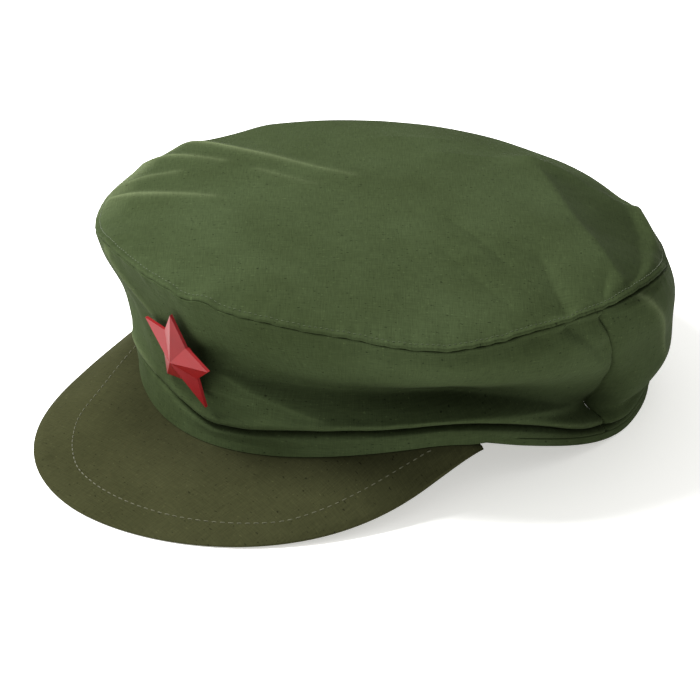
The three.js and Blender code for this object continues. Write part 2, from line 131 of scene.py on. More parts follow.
print("seam height at the front, mm:", round(float(CROWN_HEIGHT * around(SEAM, 1, np.array([0.0]))[0]), 1))

# %% [markdown]
# ## The head opening and the top seam
# Two closed lines carry the whole cap. The lower one is the edge of the opening, an oval that lies flat at the
# back and bends up towards the front, where the peak props it. The upper one is the top seam, a ring that has
# slumped forwards and to one side. The seam puckers a little, so a small uneven wave is added to its height.


# %% The two closed lines
def rim(angle):
    """The opening's edge: an oval, raised at the sides and dipped by half a cosine wave over the peak."""
    a, r = np.abs(wrapped(angle)), np.radians(angle)
    slope = np.radians(PEAK_SLOPE)
    lift = PEAK_LENGTH * np.sin(slope) + PEAK_THICKNESS / 2 * PEAK_EDGE_SHARE * np.cos(slope) + GAP + FRONT_DIP
    z = lift * (1 - smoothstep(a, LIFT_END_ANGLE, LIFT_START_ANGLE))
    z = z - FRONT_DIP * (1 + np.cos(np.pi * np.minimum(a / FRONT_DIP_ANGLE, 1))) / 2
    return np.stack([RIM_HALF_WIDTH * np.sin(r), -RIM_HALF_LENGTH * np.cos(r), z], -1)


def outward(angle):
    """The level direction square to the opening's oval."""
    r = np.radians(angle)
    n = np.stack([np.sin(r) / RIM_HALF_WIDTH, -np.cos(r) / RIM_HALF_LENGTH, 0 * r], -1)
    return n / np.linalg.norm(n, axis=-1, keepdims=True)


def ripple(along, *waves):
    """An uneven wave along a seam: the sum of sines, each a wavelength, a height and a phase that drifts."""
    return sum(h * np.sin(2 * np.pi * along / w + p + 1.2 * np.sin(2 * np.pi * along / (5.3 * w))) for w, h, p in waves)


def shoulder(angle):
    """The line the top panel heads for before its edge turns down: the table's height and reach."""
    r, reach = np.radians(angle), around(SEAM, 2, angle)
    return np.stack([
        CROWN_HALF * reach * np.sin(r) + CROWN_SIDE_SLUMP,
        -CROWN_HALF * reach * np.cos(r) - CROWN_FRONT_SLUMP,
        CROWN_HEIGHT * around(SEAM, 1, angle),
    ], -1)


def gathered(angle):
    """How much the cloth is gathered at the seam: fully at the near side and little at the stretched far side."""
    return 1 - 0.8 * smoothstep(np.abs(wrapped(angle - 45)), 70, 110)


def seam_wave(angle):
    """The seam's small rise and fall, with one kink near the star."""
    turn = wrapped(angle)
    wave = gathered(angle) * ripple(np.radians(turn) * CROWN_HALF, (23.0, 0.13, 0.4), (11.5, 0.07, 2.1))
    return wave + 1.1 * np.exp(-((turn - 13.5) / 2.6) ** 2) - 0.7 * np.exp(-((turn - 8.6) / 2.4) ** 2)


def edge_drop(angle):
    """How far the panel's edge turns down, in mm."""
    return CROWN_HEIGHT * np.maximum(around(SEAM, 3, angle), 0)


def seam(angle):
    """The top seam: the shoulder line less the drop, with the seam's wave."""
    line = shoulder(angle)
    line[..., 2] += seam_wave(angle) - edge_drop(angle)
    return line


print("opening round, mm:", round(float(np.linalg.norm(np.diff(rim(np.linspace(0, 360, 721)), axis=0), axis=1).sum())))

# %% [markdown]
# ## Folds
# Old cotton keeps two kinds of fold: soft rolls, where the cloth bulges, and creases, where it was once pressed
# flat and now bends along a line. Both are hills on the surface that run along a line. A roll has a bell-shaped
# section. A crease has straight flanks that meet at its crest, steeper on one side than on the other, so that light
# falls off sharply along it. A cloth simulation would make folds, but not these folds in these places.


# %% One function for rolls and creases
def crease_lines(x, y, row):
    """Of a row's line: the share of the way along it, how far a place lies to its left, and how far past its ends."""
    x0, y0, x1, y1, bow = row[:5]
    length = np.hypot(x1 - x0, y1 - y0)
    ux, uy = (x1 - x0) / length, (y1 - y0) / length
    along = (x - x0) * ux + (y - y0) * uy
    t = np.clip(along / length, 0, 1)
    aside = (y - y0) * ux - (x - x0) * uy - bow * 4 * t * (1 - t)
    return t, aside, np.maximum(-along, 0) + np.maximum(along - length, 0)


def fold_height(x, y, rows):
    """Sum over the rows of rise times the section, less by a share at the line's far end. The section is
    exp(-(sqrt(d squared + crest squared) - crest) / reach), with one reach to each side of the line."""
    total = 0 * x
    for row in rows:
        rise, left, right, crest, fade = row[5:]
        t, aside, past = crease_lines(x, y, row)
        section = np.exp(-(np.sqrt(aside**2 + crest**2) - crest) / np.where(aside > 0, left, right))
        ends = np.exp(-((past / (0.4 * (left + right) + 2)) ** 2))
        total = total + rise * section * ends * (1 - fade * smoothstep(t, 0.1, 1.1))
    return total


def fall_depth(x, y, rows):
    """Sum over the rows of how far the cloth has fallen away to the left of a line: depth times
    1 - exp(-d / reach), and it comes back over the width beyond that."""
    total = 0 * x
    for row in rows:
        depth, reach, width = row[5:]
        t, aside, past = crease_lines(x, y, row)
        fallen = (1 - np.exp(-np.maximum(aside, 0) / reach)) * (1 - smoothstep(aside, width, 2 * width))
        total = total + depth * fallen * np.exp(-((past / 9) ** 2))
    return total


# Top panel, mm across and back from its middle:
# start, end, bow, rise, reach to the left and right of the way, crest, share lost at the far end
TOP_FOLDS = [
    (-99, -17, -18, 1, -2.6, 2.6, 8, 13, 0.4, 0.8),
    (-96, -41, -62, -25, 2, 1.9, 6, 8, 0.4, 0.7),
    (-79, -67, -67, -43, 1, 1.6, 8, 5, 0.4, 0.6),
    (-71, -69, -38, -49, 0, 1.8, 6, 8, 0.4, 0.6),
    (-43, -21, -22, -15, 0, 0.5, 4, 6, 0.6, 0.5),
    (-88, 22, -66, 52, 3, 1.4, 8, 12, 2.0, 0.4),
    (-40, 38, -26, 58, 0, 1.0, 5, 6, 0.8, 0.6),
    (-14, 42, 6, 68, 0, 0.9, 5, 6, 0.8, 0.5),
    (8, 68, 45, 77, 3.3, 2.8, 10, 9, 0.8, 0.2),
    (55, 93, 36, 62, -2, 1.0, 6, 7, 0.8, 0.6),
    (24, 59, 101, 23, -2, 1.8, 10, 26, 0.8, 0.1),
    (101, -4, 74, 9, 0.5, -3.0, 8, 3.5, 0.4, 0.5),
    (101, 12, 92, 22, 0.3, -1.6, 4, 2, 0.3, 0.5),
    (67, -3.5, 36, 1, -0.8, -0.8, 3.5, 2, 0.3, 0.3),
    (84, -19, 48, -15.5, 0.8, -0.9, 4.5, 2.5, 0.3, 0.5),
    (40, 91, 75, 67, 1, 1.4, 2.5, 4, 0.4, 0.2),
    (48, 84, 92, 50, 2, 1.2, 2, 4, 0.4, 0.2),
]
# Where the top falls away to the left of a line: start, end, bow, depth, reach, width
TOP_FALLS = [(22, 60, 104, 22, -2, 2.8, 7, 45)]
# Side wall, mm round and up, with the same columns as the top's folds
ROUND = np.radians(1) * RIM_HALF_LENGTH
WALL_FOLDS = [
    (103.5 * ROUND, 76, 117.5 * ROUND, 34, 2, 3.0, 12, 9, 0.6, 0.4),
    (104 * ROUND, 8, 96 * ROUND, 52, -4.0, -3.2, 7, 2.2, 0.3, 0.5),
    (95 * ROUND, 68, 96.5 * ROUND, 56, 0, -1.2, 2, 6, 0.4, 0.5),
    (-20 * ROUND, 69, -6 * ROUND, 46, -2, 1.6, 2.5, 4, 0.25, 0.5),
    (-26 * ROUND, 20, -13 * ROUND, 14.5, 0, 1.2, 3, 3, 0.4, 0.5),
    (13 * ROUND, 29.5, 36 * ROUND, 16.5, 0, 2.4, 5, 4, 0.6, 0.3),
    (4 * ROUND, 24, 19 * ROUND, 20.5, 0, 1.2, 3, 4, 0.6, 0.4),
    (87 * ROUND, 68, 94 * ROUND, 51, 0, -2.6, 10, 3, 0.5, 0.4),
    (80 * ROUND, 70, 83 * ROUND, 60, 0, -0.8, 3, 4, 0.6, 0.8),
    (104 * ROUND, 5.5, 56 * ROUND, 14, 0, 1.6, 3, 3, 0.6, 0.5),
    (102 * ROUND, 13.5, 14 * ROUND, 33, -2.2, -9.0, 6, 9, 2.5, 0.35),
    (150 * ROUND, 61, 162 * ROUND, 29, 0, -3.2, 8, 6, 2, 0.3),
    (-128 * ROUND, 58, -118 * ROUND, 25, 0, -2.9, 6, 8, 2, 0.3),
]
print("folds:", len(TOP_FOLDS), "on the top and", len(WALL_FOLDS), "on the wall")

# %% [markdown]
# ## The side wall
# The wall runs from the hem up to the top seam. Near its foot the cloth has settled into a long sideways tuck: it
# turns in along a narrow line, and the cloth above rolls out and sags over it. The wall is a function of the angle
# and the share of its height. The tuck's line is one more short table, and the roll above it is pushed out and down.

# %% The wall's outer face
# Tuck: angle, share of the wall's height, depth as a share of the full one
TUCK = np.array([
    (-180, 0.1, 0.0), (-30, 0.2, 0.0), (-9, 0.167, 0.25), (0, 0.125, 0.6), (8, 0.09, 0.9), (17, 0.103, 1.0),
    (24, 0.126, 1.0), (31, 0.143, 1.0), (40, 0.147, 1.0), (50, 0.13, 1.0), (71, 0.114, 1.0), (84, 0.093, 1.0),
    (98, 0.045, 0.8), (109, 0.04, 0.5), (122, 0.06, 0.2), (140, 0.08, 0.0),
])
TUCK_DEPTH, TUCK_HALF_WIDTH, ROLL_OUT, ROLL_DOWN, HEAD_RISE = 6.0, 1.8, 1.8, 1.6, 0.5


def wall_stand(angle, share):
    """How far the wall stands out: a cubic through the levels, whose values are read round the cap."""
    stands = np.stack([0 * angle] + [around(WALL, c, angle) for c in range(1, 7)] + [0 * angle])
    last = len(LEVELS) - 1
    before, after = np.maximum(np.arange(last + 1) - 1, 0), np.minimum(np.arange(last + 1) + 1, last)
    slopes = (stands[after] - stands[before]) / (LEVELS[after] - LEVELS[before]).reshape((-1,) + (1,) * angle.ndim)
    k = np.clip(np.searchsorted(LEVELS, share, side="right") - 1, 0, last - 1)
    span = LEVELS[k + 1] - LEVELS[k]
    pick = lambda table, row: np.take_along_axis(table, row[None], 0)[0]
    values = [pick(stands, k), pick(stands, k + 1), pick(slopes, k), pick(slopes, k + 1)]
    return CROWN_HEIGHT * cubic((share - LEVELS[k]) / span, span, *values)


def wall(angle, share):
    """A point on the wall: from hem to seam, the plan leaning by share to the power 1.15 and the height by share,
    then moved outwards by the stand, the folds, the tuck and the puckers under the seam."""
    foot = rim(angle) + [0, 0, HEM_HEIGHT + GAP]
    head = seam(angle)
    head[..., 2] -= CLOTH + GAP - HEAD_RISE - 0.8 * (1 - gathered(angle))
    point = foot + (head - foot) * (share**1.15)[..., None]
    point[..., 2] = foot[..., 2] + (head[..., 2] - foot[..., 2]) * share
    turn = wrapped(angle)
    along = turn * ROUND
    folds = fold_height(along, share * CROWN_HEIGHT, WALL_FOLDS) * (1 - smoothstep(share, 0.95, 1)) * smoothstep(share, 0, 0.1)
    depth = np.clip(around(TUCK, 2, angle), 0, 1)
    above = (share - around(TUCK, 1, angle)) * CROWN_HEIGHT
    tuck = -TUCK_DEPTH * np.exp(-((above / TUCK_HALF_WIDTH) ** 2)) + ROLL_OUT * np.exp(-(((above - 3) / 2.4) ** 2))
    pucker = gathered(angle) * ripple(along, (9.7, 0.12, 0.3), (6.1, 0.08, 1.9)) * np.exp(-(((1 - share) * CROWN_HEIGHT / 7) ** 2))
    soft = ripple(along + 0.6 * share * CROWN_HEIGHT, (47.0, 0.25, 1.0), (29.0, 0.18, 2.6)) * np.sin(np.pi * share)
    out = wall_stand(angle, share) + folds + depth * tuck * smoothstep(share, 0, 0.05) + pucker + soft
    point = point + outward(angle) * out[..., None]
    point[..., 2] -= depth * ROLL_DOWN * np.exp(-(((above - 1.5) / 1.5) ** 2)) * smoothstep(share, 0, 0.05)
    return point


print("wall height at the left side, mm:", round(float(wall(np.array([90.0]), np.array([1.0]))[0, 2]), 1))

# %% [markdown]
# ## The top panel
# One round of cloth, slack, so it lies as a low dome that dips towards the side where the cap has slumped. It is a
# function of the angle and of the way from the seam to the middle. Close to the seam the gathered edge puckers.


# %% The top's outer face
def top(angle, share):
    """A point on the top panel: share 0 at the seam, 1 in the middle. The plan is the straight way between them, the
    height falls towards the shoulder's as out to the power 2.2, a dome of 1 - out cubed is added, and the edge turns
    down by the square of the share of its width; then the folds, the falls and the puckers."""
    out = 1 - share
    edge = shoulder(angle)
    middle = np.array([CROWN_SIDE_SLUMP, -CROWN_FRONT_SLUMP, CROWN_CENTRE_SHARE * CROWN_HEIGHT])
    point = middle + (edge - middle) * out[..., None]
    point[..., 2] = middle[2] + (edge[..., 2] - middle[2]) * out**DISH_POWER + DOME_RISE * (1 - out**DOME_POWER)
    point[..., 2] -= edge_drop(angle) * np.maximum(1 - share / EDGE_WIDTH_SHARE, 0) ** 2
    x, y = point[..., 0] - middle[0], point[..., 1] - middle[1]
    inset = share * CROWN_HALF
    along = np.radians(wrapped(angle)) * CROWN_HALF
    pucker = gathered(angle) * ripple(along, (7.9, 0.11, 0.8), (5.3, 0.07, 2.4)) * np.exp(-((inset / 6) ** 2))
    pucker = pucker + seam_wave(angle) * np.exp(-((inset / 9) ** 2))
    stitch_dip = -0.2 * gathered(angle) * np.exp(-(((inset - STITCH_INSET) / 0.7) ** 2))
    soft = 0.35 * np.sin(x / 21 + 0.7) * np.sin(y / 17 + 1.1) + 0.2 * np.sin((x + y) / 9.5) * np.sin((x - y) / 13)
    rim_kept = 2 + 9 * smoothstep(wrapped(angle), 98, 130)
    falls = fall_depth(x, y, TOP_FALLS) * smoothstep(inset, 0.4 * rim_kept, rim_kept)
    folds = fold_height(x, y, TOP_FOLDS) * smoothstep(inset, 0, 5) - falls
    point[..., 2] += folds + pucker + stitch_dip + soft * smoothstep(inset, 0, 15)
    return point


STITCH_INSET = 1.9
print("top's middle, mm:", np.round(top(np.array([0.0]), np.array([1.0]))[0], 1))

# %% [markdown]
# ## From faces to closed cloth
# Cloth has two faces and a turned edge. Each piece is a grid for the outer face, a coarser grid for the lining
# side, and strips that close the edges. Along a sewn edge the cloth turns under in a small round, which gives the
# seam its groove: the last rows of the outer grid run on round a quarter circle.


# %% Closed pieces from two grids
def turned_edge(points, radius, upright, end, steps, tail):
    """Adds rows past the last one that turn along a circle, from the slope found there to the end slope in degrees,
    then follow the tail's steps outwards and up. Upright is -1 where the cloth comes up from below, as in a wall."""
    level = points[:, -1] - points[:, -2]
    rise = level[:, 2].copy()
    outwards = np.stack([points[:, -1, 0], points[:, -1, 1]], -1)
    outwards = np.concatenate([outwards / np.linalg.norm(outwards, axis=1, keepdims=True), np.zeros((len(rise), 1))], 1)
    slope = np.arctan2(-upright * rise, (level * outwards).sum(1))
    turn = slope[:, None] + (np.radians(end) - slope)[:, None] * (np.arange(1, steps + 1) / steps)[None]
    out = radius * (np.sin(turn) - np.sin(slope)[:, None])
    up = upright * radius * (np.cos(turn) - np.cos(slope)[:, None])
    tail = np.array(tail)
    out = np.concatenate([out, out[:, -1:] + tail[:, 0]], 1)
    up = np.concatenate([up, up[:, -1:] + tail[:, 1]], 1)
    rows = points[:, -1:] + out[..., None] * outwards[:, None] + up[..., None] * [0, 0, 1]
    return np.concatenate([points, rows], 1)


def quads_of(index):
    """Four-cornered faces between neighbours of a grid of vertex numbers."""
    return np.stack([index[:-1, :-1], index[1:, :-1], index[1:, 1:], index[:-1, 1:]], -1).reshape(-1, 4)


def finish_mesh(name, points, faces, uv, material, marks=None):
    """Puts points in mm, faces and the pattern's place in m into a mesh, merges doubles and points the faces out."""
    mesh = bpy.data.meshes.new(name)
    mesh.from_pydata(((points + SHIFT) * MM).tolist(), [], faces)
    layer = mesh.uv_layers.new(name="weave")
    corner = np.zeros(len(mesh.loops), np.int32)
    mesh.loops.foreach_get("vertex_index", corner)
    layer.data.foreach_set("uv", (uv * MM)[corner].astype(np.float32).ravel())
    if marks is not None:
        mesh.attributes.new("wear_painted_light_and_shade", "FLOAT", "POINT").data.foreach_set("value", marks.astype(np.float32))
    cleaned = bmesh.new()
    cleaned.from_mesh(mesh)
    bmesh.ops.remove_doubles(cleaned, verts=cleaned.verts, dist=2e-6)
    bmesh.ops.recalc_face_normals(cleaned, faces=cleaned.faces)
    if cleaned.calc_volume(signed=True) < 0:
        bmesh.ops.reverse_faces(cleaned, faces=cleaned.faces)
    open_edges = sum(not e.is_manifold for e in cleaned.edges)
    cleaned.to_mesh(mesh)
    cleaned.free()
    mesh.polygons.foreach_set("use_smooth", np.ones(len(mesh.polygons), bool))
    mesh.set_sharp_from_angle(angle=np.radians(60))
    mesh.materials.append(material)
    piece = bpy.data.objects.new(name, mesh)
    bpy.context.scene.collection.objects.link(piece)
    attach(piece, "root")
    print(name, "faces:", len(mesh.polygons), "open edges:", open_edges)
    return piece


def cloth_piece(name, outer, inner, uv_outer, uv_inner, material, round_about, marks):
    """A closed piece from its outer and inner grids, columns round the cap and rows across the cloth."""
    count = outer.shape[0] * outer.shape[1]
    o = np.arange(count).reshape(outer.shape[:2])
    i = count + np.arange(inner.shape[0] * inner.shape[1]).reshape(inner.shape[:2])
    parts = [quads_of(o), quads_of(i)[:, ::-1], quads_of(np.stack([o[:, -1], i[:, -1]], 1))]
    if not round_about:
        parts.append(quads_of(np.stack([i[:, 0], o[:, 0]], 1)))
    faces = np.concatenate(parts).tolist()
    if not round_about:
        faces += [np.concatenate([i[0], o[0, ::-1]]).tolist(), np.concatenate([o[-1], i[-1, ::-1]]).tolist()]
    points = np.concatenate([outer.reshape(-1, 3), inner.reshape(-1, 3)])
    uv = np.concatenate([uv_outer.reshape(-1, 2), uv_inner.reshape(-1, 2)])
    marks = np.concatenate([marks.ravel(), np.zeros(inner.shape[0] * inner.shape[1])])
    return finish_mesh(name, points, faces, uv, material, marks)


# %% [markdown]
# ## Cotton cloth
# The cap is plain-weave cotton, dyed olive, then washed and faded by years of wear. Its threads are about half a
# millimetre apart, uneven in thickness, with short thick slubs that took the dye lighter or darker. The cloth has
# no gloss, only the faint sheen of its fibre ends. Here each set of threads is noise stretched along it. The two
# sets together change the colour a little and make the bump. Wide, weak noise gives the uneven fading. A value on
# the mesh lightens the cloth where creases are rubbed and, as painted light, along the top's far edge; below
# nought it is painted shade, in the tuck, the hollow, beside the star, on the right shoulder and at the peak's root.


# %% Nodes, colours and the cotton
def linear(code):
    """An sRGB colour such as 5c6b45 as linear red, green, blue and alpha."""
    values = np.array([int(code[k:k + 2], 16) for k in (0, 2, 4)]) / 255
    values = np.where(values <= 0.04045, values / 12.92, ((values + 0.055) / 1.055) ** 2.4)
    return (*values.tolist(), 1.0)


def add(tree, kind, inputs=None, **settings):
    """Adds a node, sets its properties, and links or sets the inputs given by name or number."""
    made = tree.nodes.new(kind)
    for name, value in settings.items():
        setattr(made, name, value)
    for name, value in (inputs or {}).items():
        if isinstance(value, bpy.types.NodeSocket):
            tree.links.new(value, made.inputs[name])
        else:
            made.inputs[name].default_value = value
    return made


def new_material(name):
    """An empty material with its node tree and output."""
    material = bpy.data.materials.new(name)
    material.use_nodes = True
    material.node_tree.nodes.clear()
    return material, material.node_tree


def plain_weave_cotton(name, dyed, faded, rubbed, thread=0.45):
    """Worn cotton with threads this many millimetres apart, in three sRGB colours."""
    material, tree = new_material(name)
    place = add(tree, "ShaderNodeTexCoord")
    uv, spot = place.outputs["UV"], place.outputs["Object"]
    fine, long = 1 / (thread * MM), 1 / (6 * MM)
    warp_place = add(tree, "ShaderNodeMapping", {"Vector": uv, "Scale": (fine, long, 1)})
    weft_place = add(tree, "ShaderNodeMapping", {"Vector": uv, "Scale": (long, fine, 1)})
    warp = add(tree, "ShaderNodeTexNoise", {"Vector": warp_place.outputs[0], "Scale": 1.0, "Detail": 2.0})
    weft = add(tree, "ShaderNodeTexNoise", {"Vector": weft_place.outputs[0], "Scale": 1.0, "Detail": 2.0})
    threads = add(tree, "ShaderNodeMath", {0: warp.outputs[0], 1: weft.outputs[0]}, operation="ADD")
    grain = add(tree, "ShaderNodeMapRange", {0: threads.outputs[0], 1: 0.7, 2: 1.3, 3: 0.84, 4: 1.16})
    slub_place = add(tree, "ShaderNodeMapping", {"Vector": uv, "Scale": (1 / (1.6 * MM), 1 / (0.9 * MM), 1)})
    slub = add(tree, "ShaderNodeTexNoise", {"Vector": slub_place.outputs[0], "Scale": 1.0, "Detail": 1.0})
    dark = add(tree, "ShaderNodeMapRange", {0: slub.outputs[0], 1: 0.69, 2: 0.73, 3: 1.0, 4: 0.45})
    light = add(tree, "ShaderNodeMapRange", {0: slub.outputs[0], 1: 0.27, 2: 0.3, 3: 1.4, 4: 1.0})
    patch = add(tree, "ShaderNodeTexNoise", {"Vector": spot, "Scale": 1 / (45 * MM), "Detail": 4.0, "Roughness": 0.55})
    fade = add(tree, "ShaderNodeMapRange", {0: patch.outputs[0], 1: 0.35, 2: 0.65})
    cloth = add(tree, "ShaderNodeMix", {0: fade.outputs[0], 6: linear(dyed), 7: linear(faded)}, data_type="RGBA")
    # The mesh value: above nought it mixes towards the rubbed colour, for rubbed creases and for a painted light along
    # the top's far edge; below nought it is painted shade that darkens the colour down to 0.4 of itself.
    wear_painted_light_and_shade = add(tree, "ShaderNodeAttribute", attribute_name="wear_painted_light_and_shade")
    rubbed_and_painted_light_colour = add(tree, "ShaderNodeMix", {0: wear_painted_light_and_shade.outputs["Fac"], 6: cloth.outputs[2], 7: linear(rubbed)}, data_type="RGBA")
    painted_shade_factor = add(tree, "ShaderNodeMapRange", {0: wear_painted_light_and_shade.outputs["Fac"], 1: -1.0, 2: 0.0, 3: 0.4, 4: 1.0})
    speckled = add(tree, "ShaderNodeMath", {0: dark.outputs[0], 1: light.outputs[0]}, operation="MULTIPLY")
    flecks = add(tree, "ShaderNodeMath", {0: speckled.outputs[0], 1: painted_shade_factor.outputs[0]}, operation="MULTIPLY")
    tone = add(tree, "ShaderNodeMath", {0: grain.outputs[0], 1: flecks.outputs[0]}, operation="MULTIPLY")
    colour = add(tree, "ShaderNodeVectorMath", {0: rubbed_and_painted_light_colour.outputs[2], 1: tone.outputs[0]}, operation="MULTIPLY")
    crumple = add(tree, "ShaderNodeTexNoise", {"Vector": spot, "Scale": 1 / (7 * MM), "Detail": 3.0})
    relief = add(tree, "ShaderNodeMath", {0: crumple.outputs[0], 1: 5.0, 2: threads.outputs[0]}, operation="MULTIPLY_ADD")
    bump = add(tree, "ShaderNodeBump", {"Height": relief.outputs[0], "Strength": 0.6, "Distance": 0.12 * MM})
    shader = add(tree, "ShaderNodeBsdfPrincipled", {
        "Base Color": colour.outputs[0], "Roughness": 0.88, "Normal": bump.outputs[0],
        "Specular IOR Level": 0.02, "Sheen Weight": 0.03, "Sheen Roughness": 0.3, "Sheen Tint": linear("a9b48c"),
    })
    add(tree, "ShaderNodeOutputMaterial", {"Surface": shader.outputs[0]})
    return material


crown_cotton = plain_weave_cotton("washed olive cotton", "303922", "374129", "6a7454")
peak_cotton = plain_weave_cotton("worn khaki cotton", "2f301d", "353622", "4a4b35")
print("materials:", crown_cotton.name, "and", peak_cotton.name)

# %% [markdown]
# ## The top panel as a piece
# The grid's columns run round the cap and its rows from the middle out to the seam, closer together near the seam,
# where the cloth bends most. The pattern's place is the panel's own plan, so the weave runs straight across it.

# %% Make the top panel
# The panel was cut with its threads at this angle to the cap's front
VIEW_TURN = np.array([[0.656, 0.755], [0.755, -0.656], [0, 0]])
columns = np.concatenate([np.arange(-180, -100, 1.0), np.arange(-100, -30, 0.25), np.arange(-30, 150, 0.5),
                          np.arange(150, 180.1, 1.0)])
rows = 1 - np.concatenate([np.linspace(0, 0.9, 70, endpoint=False), np.linspace(0.9, 1 - 0.5 / CROWN_HALF, 26)])
angle, share = np.meshgrid(columns, rows, indexing="ij")
outer = turned_edge(top(angle, share), 0.5, 1, 90, 4, [(0, -0.6), (-0.1, -0.75), (-0.3, -0.8), (-3, -0.8)])
inner_angle, inner_share = np.meshgrid(columns, np.linspace(1, 6 / CROWN_HALF, 14), indexing="ij")
inner = top(inner_angle, inner_share) - [0, 0, CLOTH]
x, y = outer[..., 0] - CROWN_SIDE_SLUMP, outer[..., 1] + CROWN_FRONT_SLUMP
rubbed = [(*row[:5], min(row[5] / 2, 1), 1.3, 1.3, 0.4, row[9]) for row in TOP_FOLDS if row[5] > 0 and row[8] < 0.7]
wear_painted_light_and_shade = np.clip(fold_height(x, y, rubbed), 0, 1) * 0.6
# Painted light: a lighter band along the far edge of the top, within about 15 mm of the seam.
far_side_painted_light = smoothstep(np.abs(wrapped(columns - 45)), 75, 110)[:, None]
wear_painted_light_and_shade = np.maximum(wear_painted_light_and_shade, 0.5 * far_side_painted_light * (1 - smoothstep(np.pad(share, ((0, 0), (0, 8)), mode="edge") * CROWN_HALF, 4, 15)))
# Painted shade on the right shoulder, beyond the line where the top falls away from the lamp.
wear_painted_light_and_shade = wear_painted_light_and_shade - fall_depth(x, y, [(22, 60, 104, 22, -2, 0.36, 1.5, 45)])
crown = cloth_piece("top_panel", outer, inner, outer @ VIEW_TURN, inner @ VIEW_TURN, crown_cotton, True, wear_painted_light_and_shade)
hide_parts("crown_top")

# %% [markdown]
# ## The side wall as two pieces
# Two strips of cloth meet in a seam at each side of the head. The near seam has been pulled into a curve by the
# crease beside it. Columns are closer together on the side that faces the viewer, and rows near the tuck. In front,
# over the peak, the wall's foot covers the hem.

# %% Make the two wall pieces
# Near side seam: share of the wall's height, angle
SIDE_SEAM = np.array([(0, 104.6), (0.12, 104.3), (0.3, 104.0), (0.46, 102.3), (0.63, 99.0), (0.77, 97.0), (0.94, 94.6), (1, 95.4)])
SHARES = np.concatenate([
    np.linspace(0, 0.03, 5, endpoint=False), np.linspace(0.03, 0.22, 48, endpoint=False),
    np.linspace(0.22, 0.93, 66, endpoint=False), np.linspace(0.93, 1 - 0.6 / CROWN_HEIGHT, 12),
])
FOOT_COVER = 3.3


def spaced(start, end, fine, coarse, near):
    """Angles from start to end, in fine steps inside the near range and in coarse steps outside it."""
    steps = [start]
    while steps[-1] < end:
        steps.append(steps[-1] + (fine if near[0] <= steps[-1] < near[1] else coarse))
    return np.array(steps) * 1.0


def painted_wall_shade(angle, share):
    """Painted shade on the wall where light hardly reaches: 1 in the tuck, less in the hollow above it, and a painted
    shadow beside the star, to its right.
    """
    above = (share - around(TUCK, 1, angle)) * CROWN_HEIGHT
    tuck = np.exp(-((above / 1.2) ** 2)) + 0.4 * np.exp(-(((above + 3.0) / 3.0) ** 2))
    hollow = fold_height(wrapped(angle) * ROUND, share * CROWN_HEIGHT, [(104 * ROUND, 15, 10 * ROUND, 31, -2, 0.9, 7, 7, 4, 0.25)])
    painted_star_shadow = 0.8 * np.exp(-((np.hypot(wrapped(angle) * ROUND - 10, share * CROWN_HEIGHT - 37) / 10) ** 4))
    return np.clip(tuck * np.clip(around(TUCK, 2, angle), 0, 1) + 0.75 * hollow + painted_star_shadow, 0, 1)


def wall_piece(name, start, end, steps):
    """One strip of the wall: its columns are bent so that its ends follow the side seams."""
    share_of_way = (steps - steps[0]) / (steps[-1] - steps[0])
    way, share = np.meshgrid(share_of_way, SHARES, indexing="ij")
    first, last = start(share), end(share)
    angle = first + (last - first) * way
    face = wall(angle, share)
    cover = FOOT_COVER * (1 - smoothstep(np.abs(wrapped(angle[:, :1])), 66, 80))
    drop = cover * np.linspace(1, 0.2, 5)[None]
    skirt = face[:, :1] - drop[..., None] * [0, 0, 1]
    outer = np.concatenate([skirt, face], 1)
    outer = turned_edge(outer, 0.6, -1, 180, 4, [(-1, 0), (-5, 0)])
    tuck_in = 0.9 * np.exp(-np.minimum(way, 1 - way)[:, :1] * (last - first)[:, :1] * ROUND / 0.8)
    outer = outer - outward(angle[:, :1]) * tuck_in[..., None]
    inner_share = np.linspace(0, 1 - 2.4 / CROWN_HEIGHT, 40)
    way2, share2 = np.meshgrid(share_of_way, inner_share, indexing="ij")
    first2, last2 = start(share2), end(share2)
    angle2 = first2 + (last2 - first2) * way2
    inner = wall(angle2, share2) - outward(angle2) * CLOTH
    foot = inner[:, :1] - cover[..., None] * [0, 0, 1]
    inner = np.concatenate([foot, inner], 1)
    extra = outer.shape[1] - skirt.shape[1] - face.shape[1]
    full_angle = np.concatenate([np.repeat(angle[:, :1], skirt.shape[1], 1), angle, np.repeat(angle[:, -1:], extra, 1)], 1)
    uv = np.stack([wrapped(full_angle) * ROUND, outer[..., 2]], -1)
    full_angle2 = np.concatenate([angle2[:, :1], angle2], 1)
    uv2 = np.stack([wrapped(full_angle2) * ROUND, inner[..., 2]], -1)
    rubbed = [(*row[:5], 1.0, 1.1, 1.1, 0.4, row[9]) for row in WALL_FOLDS if row[5] > 0]
    marks = np.clip(fold_height(wrapped(angle) * ROUND, share * CROWN_HEIGHT, rubbed), 0, 1) * 0.35
    # Below nought the marks are painted shade: in the tuck, in the hollow and beside the star.
    marks = np.concatenate([0 * drop, marks - painted_wall_shade(angle, share), np.zeros((len(steps), extra))], 1)
    return cloth_piece(name, outer, inner, uv, uv2, crown_cotton, False, marks)


near_seam = lambda share: np.interp(share, SIDE_SEAM[:, 0], SIDE_SEAM[:, 1])
half_gap = GAP / 2 / ROUND
front = wall_piece("side_wall_front", lambda s: -100 + half_gap + 0 * s, lambda s: near_seam(s) - half_gap,
                   spaced(-100, 104.4, 0.5, 1.2, (-30, 110)))
back = wall_piece("side_wall_back", lambda s: near_seam(s) + half_gap, lambda s: 260 - half_gap + 0 * s,
                  spaced(100, 260, 0.5, 1.2, (90, 145)))
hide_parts("side_front")
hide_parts("side_back")

